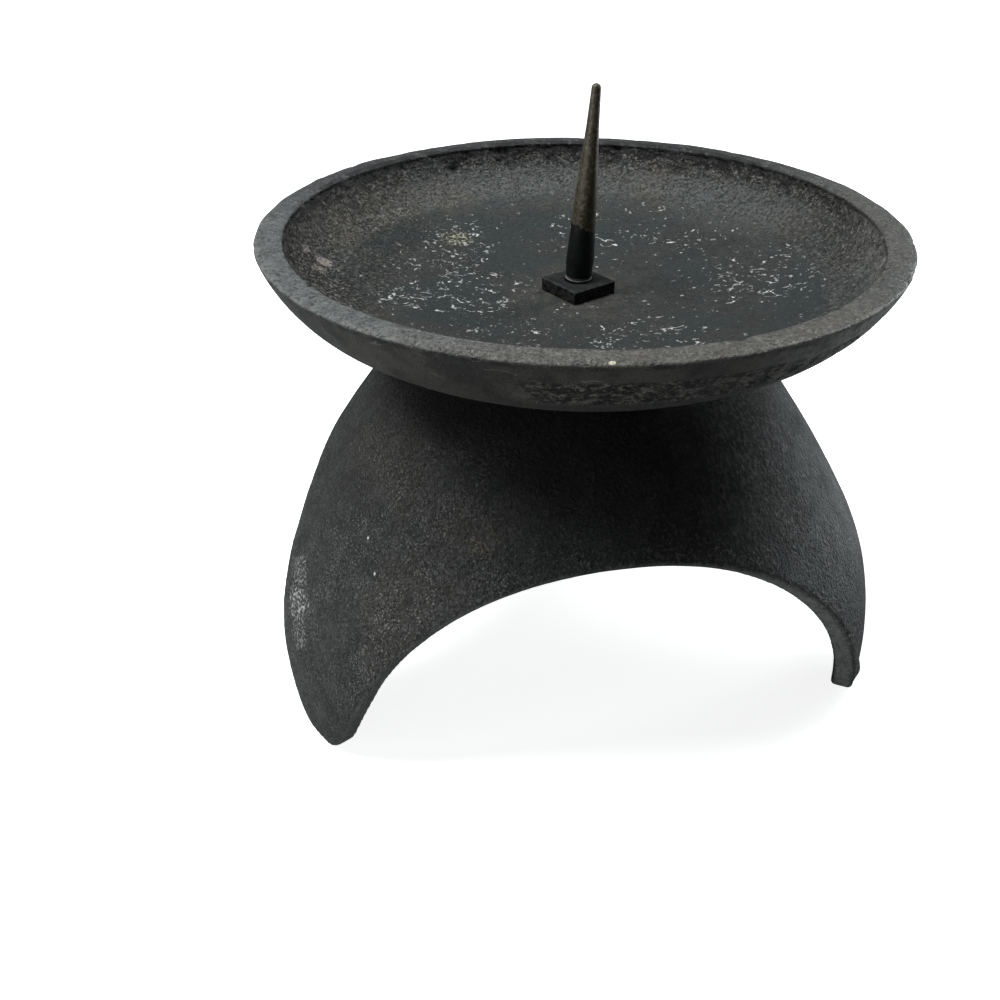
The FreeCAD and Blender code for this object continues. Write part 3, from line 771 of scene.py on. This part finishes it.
# %% Dish finish: walls
ragged = w.times(w.math("SUBTRACT", w.noise(spot, 120.0, 4.0, 0.6), 0.5), 0.012)
outside = w.times(w.ramp(z, rim_z - 0.6 * MM, rim_z - 1.6 * MM),
                  w.ramp(w.math("ADD", from_axis, ragged), 0.0580, 0.0665))
band = w.mix(w.patchy(spot, 90.0, 5.0, 0.7, 0.40, 0.60), (0.008, 0.0075, 0.006, 1), (0.040, 0.036, 0.030, 1))
# Pale grey blotches on the right front of the outer wall are painted light, making that side lighter.
lit_right_front = w.times(w.ramp(x, 0.010, 0.045), w.ramp(y, 0.010, -0.025))
band = w.tint(band, w.times(lit_right_front, w.patchy(spot, 420.0, 5.0, 0.75, 0.35, 0.6)), (0.240, 0.248, 0.240))
colour = w.mix(w.times(outside, 0.75), colour, band)
pits = w.noise(w.vector("MULTIPLY", spot, (0.75, 0.75, 1.25)), 1000.0, 3.0, 0.75)
crevice = w.times(w.ramp(pits, 0.51, 0.55), w.ramp(coarse_here, 0.15, 0.6))
crest = w.times(w.ramp(pits, 0.46, 0.38), w.ramp(coarse_here, 0.05, 0.4))
# The pale crests are real grains, painted lighter still at the back as painted light.
crest_grey_lit_back = w.mix(w.ramp(y, 0.025, 0.055), (0.145, 0.138, 0.122, 1), (0.230, 0.236, 0.230, 1))
colour = w.mix(w.times(crest, 0.6), colour, crest_grey_lit_back)
tan = w.times(w.patchy(spot, 1300.0, 2.0, 0.7, 0.53, 0.62), w.ramp(from_axis, 0.064, 0.0615),
              w.ramp(w.math("SUBTRACT", z, w.times(x, 0.06)), 0.0975, 0.101), w.ramp(x, 0.035, -0.01))
colour = w.tint(colour, w.times(tan, 0.5), (0.15, 0.135, 0.11))
colour = w.tint(colour, w.times(crevice, 0.9), PITCH)
wall_grit = w.place(speckle, Place=spot, Scale=1350.0)
gritty = w.times(w.ramp(from_axis, 0.0640, 0.0632), w.ramp(coarse_here, 0.03, 0.35))
gaps = w.times(wall_grit.outputs["Dark"], gritty)
tips = w.times(wall_grit.outputs["Light"], gritty)
colour = w.tint(colour, w.times(gaps, 0.85), PITCH)
colour = w.tint(colour, w.times(tips, 0.75), (0.225, 0.218, 0.195))
print("dish_iron so far", len(w.nodes), "nodes")

# %% [markdown]
# Then come the marks of making and use. The front of the outer wall has pits a millimetre or
# two wide; their black is painted shade and their torn, paler lips are painted highlight. A broken
# dark line runs just under the rim's edge, and a few thin scratches cross the wall. Under the rim's
# inner edge the wall is painted black as shade.

# %% Dish finish: torn pits, scratches and painted shade under the rim
torn = w.noise(w.vector("MULTIPLY", spot, (0.65, 0.65, 1.3)), 560.0, 5.0, 0.72, 0.4)
on_front = w.ramp(outside, 0.2, 0.6)
# The pits are also cut into the relief, but their black is painted shade and the pale lips are painted
# highlight.
shaded_front_pits = w.times(w.ramp(torn, 0.505, 0.53), on_front, w.ramp(coarse_here, 0.1, 0.5))
lit_lips = w.times(w.ramp(torn, 0.44, 0.48), w.ramp(torn, 0.52, 0.495), on_front, w.ramp(coarse_here, 0.05, 0.4))
colour = w.tint(colour, w.times(lit_lips, w.patchy(spot, 600.0, 3.0, 0.6, 0.45, 0.55)), (0.15, 0.146, 0.130))
colour = w.tint(colour, w.times(shaded_front_pits, 0.9), (0.0025, 0.0025, 0.0022))
under_line = w.times(w.ramp(z, rim_z - 2.1 * MM, rim_z - 1.5 * MM),
                     w.ramp(z, rim_z - 0.7 * MM, rim_z - 1.1 * MM), w.ramp(from_axis, 0.0660, 0.0670),
                     w.patchy(spot, 170.0, 5.0, 0.75, 0.47, 0.56))
colour = w.tint(colour, w.times(under_line, 0.85), (0.004, 0.004, 0.004))
along_wall = w.vector("MULTIPLY", spot, (0.45, 0.45, 1.5))
scratch = w.place(curved_slivers, Place=along_wall, Scale=260.0, Crowd=0.25, Width=0.022)
colour = w.tint(colour, w.times(scratch.outputs["Mask"], w.ramp(from_axis, 0.0600, 0.0640), 0.45),
                (0.16, 0.16, 0.15))
# The back of the inner wall is painted a lighter grey as painted light, with real browner patches in it.
lit_back_wall = w.times(w.ramp(from_axis, 0.042, 0.052), w.ramp(from_axis, 0.0642, 0.0636),
                    w.ramp(z, rim_z - 2.5 * MM, rim_z - 5.5 * MM), w.ramp(y, 0.0, 0.030),
                    w.patchy(spot, 1050.0, 3.0, 0.7, 0.44, 0.56, 0.1, 1.0))
browner = w.patchy(spot, 42.0, 3.0, 0.6, 0.44, 0.58)
lit_back_grey = w.mix(browner, (0.080, 0.089, 0.088, 1), (0.092, 0.085, 0.072, 1))
colour = w.mix(w.times(lit_back_wall, 0.65), colour, lit_back_grey)
# Under the rim's inner edge, reaching further in at the back, a ragged black band is painted shade.
shade_edge_distance = w.math("SUBTRACT", from_axis, w.ramp(y, 0.02, 0.05, 0.0, 1.8 * MM))
rim_edge_shade = w.times(w.ramp(z, rim_z - 3.2 * MM, rim_z - 2.2 * MM), w.ramp(y, -0.010, 0.030),
                   w.ramp(shade_edge_distance, (inner_r + 0.6) * MM, (inner_r + 0.1) * MM),
                   w.patchy(spot, 300.0, 5.0, 0.75, 0.40, 0.52))
colour = w.tint(colour, w.times(rim_edge_shade, 0.85), PITCH)
print("dish_iron so far", len(w.nodes), "nodes")

# %% [markdown]
# Old wax and lime lie on the dish's floor as curled scrapings, grains and lumps. They are thick in
# a few patches, so the patches are listed one by one and the flecks in them placed by the groups.

# %% Dish finish: floor and wax
floor_z = floor_level * MM
inside = w.times(w.ramp(from_axis, 0.056, 0.051), w.ramp(z, floor_z - 2.0 * MM, floor_z - 0.5 * MM))
crowd = spots(w, spot, [((-27, 7, 94.5), 20, 1.3, 0.9), ((-41, -2, 96), 11, 1.2, 0.7),
                        ((-23, 32, 95), 11, 1.0, 0.8), ((44, -5, 96), 18, 1.2, 0.8),
                        ((8, -31, 94.5), 15, 1.2, 0.8), ((-21, -25, 94.5), 14, 1.2, 0.6),
                        ((30, 30, 95.5), 18, 1.2, 0.5), ((10, 34, 95), 14, 1.2, 0.5),
                        ((50, -18, 96), 9, 1.2, 0.7), ((-3, -9, 93.6), 5.5, 1.2, 0.7)])
crowd = w.times(crowd, w.patchy(spot, 130.0, 4.0, 0.65, 0.38, 0.58, 0.1, 1.0))
elsewhere = w.vector("ADD", spot, (0.7, 0.2, 0.4))
long_flecks = w.place(curved_slivers, Place=spot, Scale=235.0, Crowd=crowd, Width=0.034).outputs["Mask"]
short_flecks = w.place(curved_slivers, Place=elsewhere, Scale=540.0, Crowd=crowd, Width=0.042).outputs["Mask"]
grains = w.place(scattered_flecks, Place=spot, Scale=900.0, Density=w.math("ADD", w.times(crowd, 0.10), 0.02),
                 Size=0.42).outputs["Mask"]
lumps_of_wax = w.place(scattered_flecks, Place=spot, Scale=430.0, Density=w.times(crowd, 0.20),
                       Size=0.32).outputs["Mask"]
flecks = w.math("MAXIMUM", w.math("MAXIMUM", long_flecks, w.times(short_flecks, 0.85)),
                w.times(w.math("MAXIMUM", grains, lumps_of_wax), 0.55))
flecks = w.times(flecks, w.patchy(spot, 800.0, 3.0, 0.7, 0.34, 0.60, 0.30, 1.0), inside)
# The floor is greener away from the middle and dusty brown round the nut.
colour = w.tint(colour, w.times(inside, 0.44), (0.008, 0.009, 0.008))
greener = w.times(inside, w.patchy(spot, 45.0, 3.0, 0.6, 0.42, 0.62))
colour = w.tint(colour, w.times(greener, 0.65), (0.012, 0.020, 0.020))
dusty = w.times(w.ramp(from_axis, 0.021, 0.009), w.patchy(spot, 330.0, 5.0, 0.75, 0.42, 0.64), inside)
colour = w.tint(colour, w.times(dusty, 0.40), (0.075, 0.070, 0.058))
colour = w.tint(colour, w.times(flecks, 0.95), (0.56, 0.57, 0.55))
print("dish_iron so far", len(w.nodes), "nodes")

# %% Dish finish: single marks and relief
pink = w.times(spots(w, spot, [((-55.5, 11.2, 99.6), 2.4, 1.0, 1.0), ((-56.6, 6.6, 100.3), 2.4, 1.2, 0.5),
                               ((-59.2, 12.2, 102.6), 1.4, 0.9, 0.9)]),
               w.patchy(spot, 800.0, 3.0, 0.7, 0.36, 0.54, 0.15, 1.0))
colour = w.tint(colour, pink, (0.27, 0.235, 0.22))
yellow = w.times(spots(w, spot, [((-23.5, 32.5, 95), 4.2, 2.2, 0.8)]),
                 w.patchy(spot, 1100.0, 3.0, 0.7, 0.50, 0.60))
colour = w.tint(colour, yellow, (0.38, 0.37, 0.24))
colour = w.tint(colour, spots(w, spot, [((-9.8, -68.5, 109.1), 0.65, 1.4, 1.0)]), (0.50, 0.46, 0.36))
w.wire(colour, shader.inputs["Base Color"])
w.wire(w.math("ADD", rough, w.times(on_rim, -0.10)), shader.inputs["Roughness"])
# The outer wall is smoother, the rim is chewed and pits deepen the coarse wall.
height = w.times(height, w.math("SUBTRACT", 1.0, w.times(outside, 0.65)))
height = w.math("ADD", height, w.times(w.noise(spot, 900.0, 5.0, 0.8), on_rim, 0.60))
height = w.math("ADD", height, w.times(w.math("SUBTRACT", tips, gaps), 0.5))
height = w.math("SUBTRACT", height, w.times(w.math("ADD", crevice, shaded_front_pits), 0.8))
height = w.math("ADD", height, w.times(flecks, 0.5))
relief(w, shader, height, BUMP_DEPTH)
print("dish_iron", len(w.nodes), "nodes")

# %% [markdown]
# ### Dome
# The dome was handled less, so it keeps more of its sand. The mesh says which faces were cut by the
# arches and where their edges are rubbed. The dish's shadow is painted nearly black on the neck and
# the front below the dish, and the right half has small black pits with a paler lip.

# %% Dome finish: skin, streaks and cut faces
dome_iron, w, shader, spot = new_finish("dome_iron", specular=0.35)
x, y, z = w.split(spot)
lefts = w.ramp(w.math("ADD", x, w.times(z, -0.25)), 0.020, -0.030)
coarseness = [w.ramp(lefts, 0.0, 1.0, *ends) for ends in ((0.14, 0.28), (0.60, 0.90), (0.32, 0.60))]
colour, height, rough = iron_base(w, spot, *coarseness)
streaks = w.patchy(w.vector("MULTIPLY", spot, (1.0, 1.0, 0.22)), 1100.0, 3.0, 0.65, 0.49, 0.60)
near_neck = w.times(w.ramp(z, 0.052, 0.072), w.ramp(x, 0.0, 0.03, 0.35, 1.0))
streaks = w.times(streaks, near_neck)
colour = w.tint(colour, w.times(streaks, 0.6), (0.095, 0.093, 0.080))
mossy = w.times(w.patchy(spot, 52.0, 3.0, 0.6, 0.46, 0.60), w.ramp(x, 0.010, 0.035))
colour = w.tint(colour, w.times(mossy, 0.45), (0.030, 0.040, 0.038))
dust = w.patchy(spot, 1500.0, 2.0, 0.7, 0.52, 0.60)
chalk = spots(w, spot, [((-68, -22, 31), 6.0, 1.6, 0.85), ((-68, -18, 36), 4.5, 1.5, 0.5),
                        ((-68, -26, 25), 5.0, 1.4, 0.5)])
colour = w.tint(colour, w.times(chalk, dust), (0.50, 0.51, 0.50))
ochre = spots(w, spot, [((-28.8, -47.7, 60.6), 4.2, 1.2, 0.5)])
colour = w.tint(colour, w.times(ochre, dust), (0.17, 0.135, 0.075))
edge_here = w.node("ShaderNodeAttribute", attribute_name="edge_wear").outputs["Fac"]
colour = w.tint(colour, w.times(edge_here, w.patchy(spot, 260.0, 4.0, 0.7, 0.34, 0.60, 0.2, 0.9)),
                (0.19, 0.195, 0.185))
# The arches' cut faces are painted paler grey, painted light standing in for the light the floor bounces onto
# them.
cut_here = w.node("ShaderNodeAttribute", attribute_name="cut_face").outputs["Fac"]
colour = w.tint(colour, w.times(cut_here, w.patchy(spot, 300.0, 5.0, 0.7, 0.3, 0.65, 0.4, 0.9)),
                (0.200, 0.205, 0.202))
print("dome_iron so far", len(w.nodes), "nodes")

# %% Dome finish: painted shadow, pits and grains
# The dish's shadow on the neck and on the front below it is painted into the colour as near-black.
dish_shadow_left = w.math("MAXIMUM", w.ramp(x, -0.050, -0.014, 0.35, 1.0),
                    w.times(w.ramp(z, 0.064, 0.080), w.ramp(x, -0.046, -0.034, 0.35, 1.0)))
dish_shadow_paint = w.times(w.ramp(z, 0.036, 0.074), dish_shadow_left, w.ramp(x, 0.045, 0.018, 0.50, 1.0))
colour = w.tint(colour, w.times(dish_shadow_paint, 0.96), (0.0008, 0.0008, 0.0007))
# A few grains on the right stay grey-green inside the painted shadow.
colour = w.tint(colour, w.times(streaks, w.ramp(x, 0.014, 0.036), 0.55), (0.085, 0.092, 0.085))
dots = spots(w, spot, [((-50.7, -38.0, 48.3), 0.40, 0.3, 1.0), ((-51.4, -31.7, 53.3), 0.36, 0.3, 0.9),
                       ((54.6, -49.2, 26.6), 0.36, 0.3, 0.8)])
colour = w.tint(colour, dots, (0.60, 0.60, 0.56))
pitting = w.place(speckle, Place=w.vector("MULTIPLY", spot, (1.0, 1.0, 0.7)), Scale=1250.0)
pitted = w.times(w.patchy(spot, 75.0, 4.0, 0.65, 0.40, 0.56, 0.25, 1.0), w.ramp(x, -0.030, 0.020, 0.35, 1.0),
                 w.ramp(dish_shadow_paint, 0.9, 0.5, 0.15, 1.0), w.math("SUBTRACT", 1.0, w.times(cut_here, 0.85)))
pit_dark = w.times(pitting.outputs["Dark"], pitted)
pit_light = w.times(pitting.outputs["Light"], pitted)
colour = w.tint(colour, w.times(pit_dark, 0.80), PITCH)
colour = w.tint(colour, w.times(pit_light, 0.45), (0.130, 0.136, 0.128))
# Single grains stand out of the skin, lit on one side by their relief, and their paler colour is painted
# highlight.
lit_beads = w.place(scattered_flecks, Place=spot, Scale=620.0, Density=0.09, Size=0.42).outputs["Mask"]
lit_beads = w.times(lit_beads, w.patchy(spot, 110.0, 3.0, 0.6, 0.40, 0.58))
colour = w.tint(colour, w.times(lit_beads, w.math("SUBTRACT", 0.35, w.times(dish_shadow_paint, 0.30))), (0.14, 0.145, 0.135))
w.wire(colour, shader.inputs["Base Color"])
w.wire(w.math("ADD", rough, w.times(dish_shadow_paint, 0.35), clamp=True), shader.inputs["Roughness"])
height = w.math("ADD", height, w.times(streaks, 0.15))
height = w.math("ADD", height, w.times(w.math("ADD", lit_beads, w.math("SUBTRACT", pit_light, pit_dark)), 0.45))
height = w.times(height, w.math("SUBTRACT", 1.0, w.times(dish_shadow_paint, 0.45)))
relief(w, shader, height, BUMP_DEPTH)
print("dome_iron", len(w.nodes), "nodes")

# %% [markdown]
# ## Castings
# Both shapes go through the same tree with their own depths. The dish is rougher but has smaller
# swells. Each finished piece rides on the one body and hides the measured node that it stands for.

# %% Make both castings
dish_casting = baked("dish_casting", dish_mesh, cast_skin, skin_sockets, Swell_Depth=0.0004,
                     Lump_Depth=0.00010, Pit_Depth=0.0009, Seed=0.0, Finish=dish_iron)
dome_casting = baked("dome_casting", dome_mesh, cast_skin, skin_sockets, Swell_Depth=0.0005,
                     Lump_Depth=0.00005, Pit_Depth=0.0, Seed=3.0, Finish=dome_iron)
for piece, node in ((dish_casting, "dish"), (dome_casting, "base")):
    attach(piece, "root")
    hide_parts(node)
    heights = [v.co.z for v in piece.data.vertices]
    print(piece.name, len(piece.data.polygons), "faces, z", round(min(heights), 5), round(max(heights), 5))

# %% [markdown]
# ## Pricket, nuts and washer
# These four keep their measured meshes, which are right as they are, and only get a finish. The
# square nut is black with a duller, rubbed top, washer and hexagon nut are plain browned steel.

# %% Dark steel for the nuts and the washer
nut_steel, w, shader, spot = new_finish("nut_steel", 0.5, 0.0, 0.12)
turned = w.node("ShaderNodeMapping", vector_type="TEXTURE")
w.wire(spot, turned.inputs[0])
turned.inputs["Rotation"].default_value = (0, 0, math.radians(27.7))
along, across, z = w.split(turned.outputs[0])
out = w.math("MAXIMUM", w.math("ABSOLUTE", along), w.math("ABSOLUTE", across))
top = w.ramp(z, nut_top - 0.5 * MM, nut_top - 0.1 * MM)
worn = w.times(top, w.patchy(spot, 600.0, 4.0, 0.7, 0.35, 0.65, 0.45, 1.0))
colour = w.mix(worn, (0.0016, 0.0015, 0.0014, 1), (0.019, 0.020, 0.0205, 1))
rubbed = w.times(w.ramp(out, 5.35 * MM, 5.72 * MM), w.patchy(spot, 900.0, 4.0, 0.7, 0.4, 0.6))
colour = w.tint(colour, w.times(rubbed, 0.3), (0.08, 0.08, 0.078))
w.wire(colour, shader.inputs["Base Color"])
relief(w, shader, w.noise(spot, 1200.0, 4.0, 0.6), 0.00012)

fixing_steel, w, shader, spot = new_finish("fixing_steel", 0.55, 0.3, 0.5)
browned = w.patchy(spot, 700.0, 5.0, 0.7, 0.4, 0.62)
w.wire(w.mix(browned, (0.02, 0.019, 0.018, 1), (0.055, 0.045, 0.038, 1)), shader.inputs["Base Color"])
relief(w, shader, w.noise(spot, 1500.0, 4.0, 0.6), 0.00010)
print("finishes", nut_steel.name, fixing_steel.name)

# %% [markdown]
# The pricket is bare bronze-brown metal that was dipped black at its foot, where the border is
# crisp, slanted and ragged. Just above the nut a turn of the thread shows as a bright ring.

# %% Pricket finish
spike_steel, w, shader, spot = new_finish("spike_steel", 0.45, 0.0, 0.3)
x, y, z = w.split(spot)
slant = w.math("ADD", z, w.times(x, 0.45))
edge_noise = w.times(w.math("SUBTRACT", w.noise(spot, 420.0, 4.0, 0.6), 0.5), 4.5 * MM)
above = w.ramp(w.math("ADD", slant, edge_noise), nut_top + 12.2 * MM, nut_top + 12.3 * MM)
up_spike = w.ramp(z, nut_top + 12.0 * MM, spike_high.z)
bronze = w.mix(up_spike, (0.040, 0.035, 0.020, 1), (0.066, 0.058, 0.043, 1))
bronze = w.tint(bronze, w.patchy(spot, 500.0, 5.0, 0.7, 0.40, 0.62), (0.044, 0.036, 0.018))
specks = w.place(speckle, Place=spot, Scale=1500.0)
bronze = w.tint(bronze, w.times(specks.outputs["Light"], 0.5), (0.13, 0.12, 0.095))
bronze = w.tint(bronze, w.times(specks.outputs["Dark"], 0.6), (0.012, 0.009, 0.005))
paler = w.patchy(spot, 420.0, 4.0, 0.6, 0.4, 0.65)
dipped = w.mix(paler, (0.0014, 0.0018, 0.0018, 1), (0.0040, 0.0070, 0.0070, 1))
colour = w.mix(above, dipped, bronze)
turn_up = w.math("ADD", z, w.times(x, 0.05))
ring = w.times(w.ramp(turn_up, nut_top + 1.0 * MM, nut_top + 0.8 * MM),
               w.ramp(turn_up, nut_top + 0.2 * MM, nut_top + 0.5 * MM))
colour = w.tint(colour, ring, (0.26, 0.26, 0.25))
w.wire(colour, shader.inputs["Base Color"])
w.wire(w.ramp(above, 0.0, 1.0, 0.42, 0.36), shader.inputs["Roughness"])
relief(w, shader, w.noise(spot, 900.0, 5.0, 0.65), 0.00016)
for node, finish in (("spike", spike_steel), ("square_nut", nut_steel), ("washer", fixing_steel),
                     ("hex_nut", fixing_steel)):
    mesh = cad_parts[node].data
    mesh.materials.clear()
    mesh.materials.append(finish)
print("small parts finished")
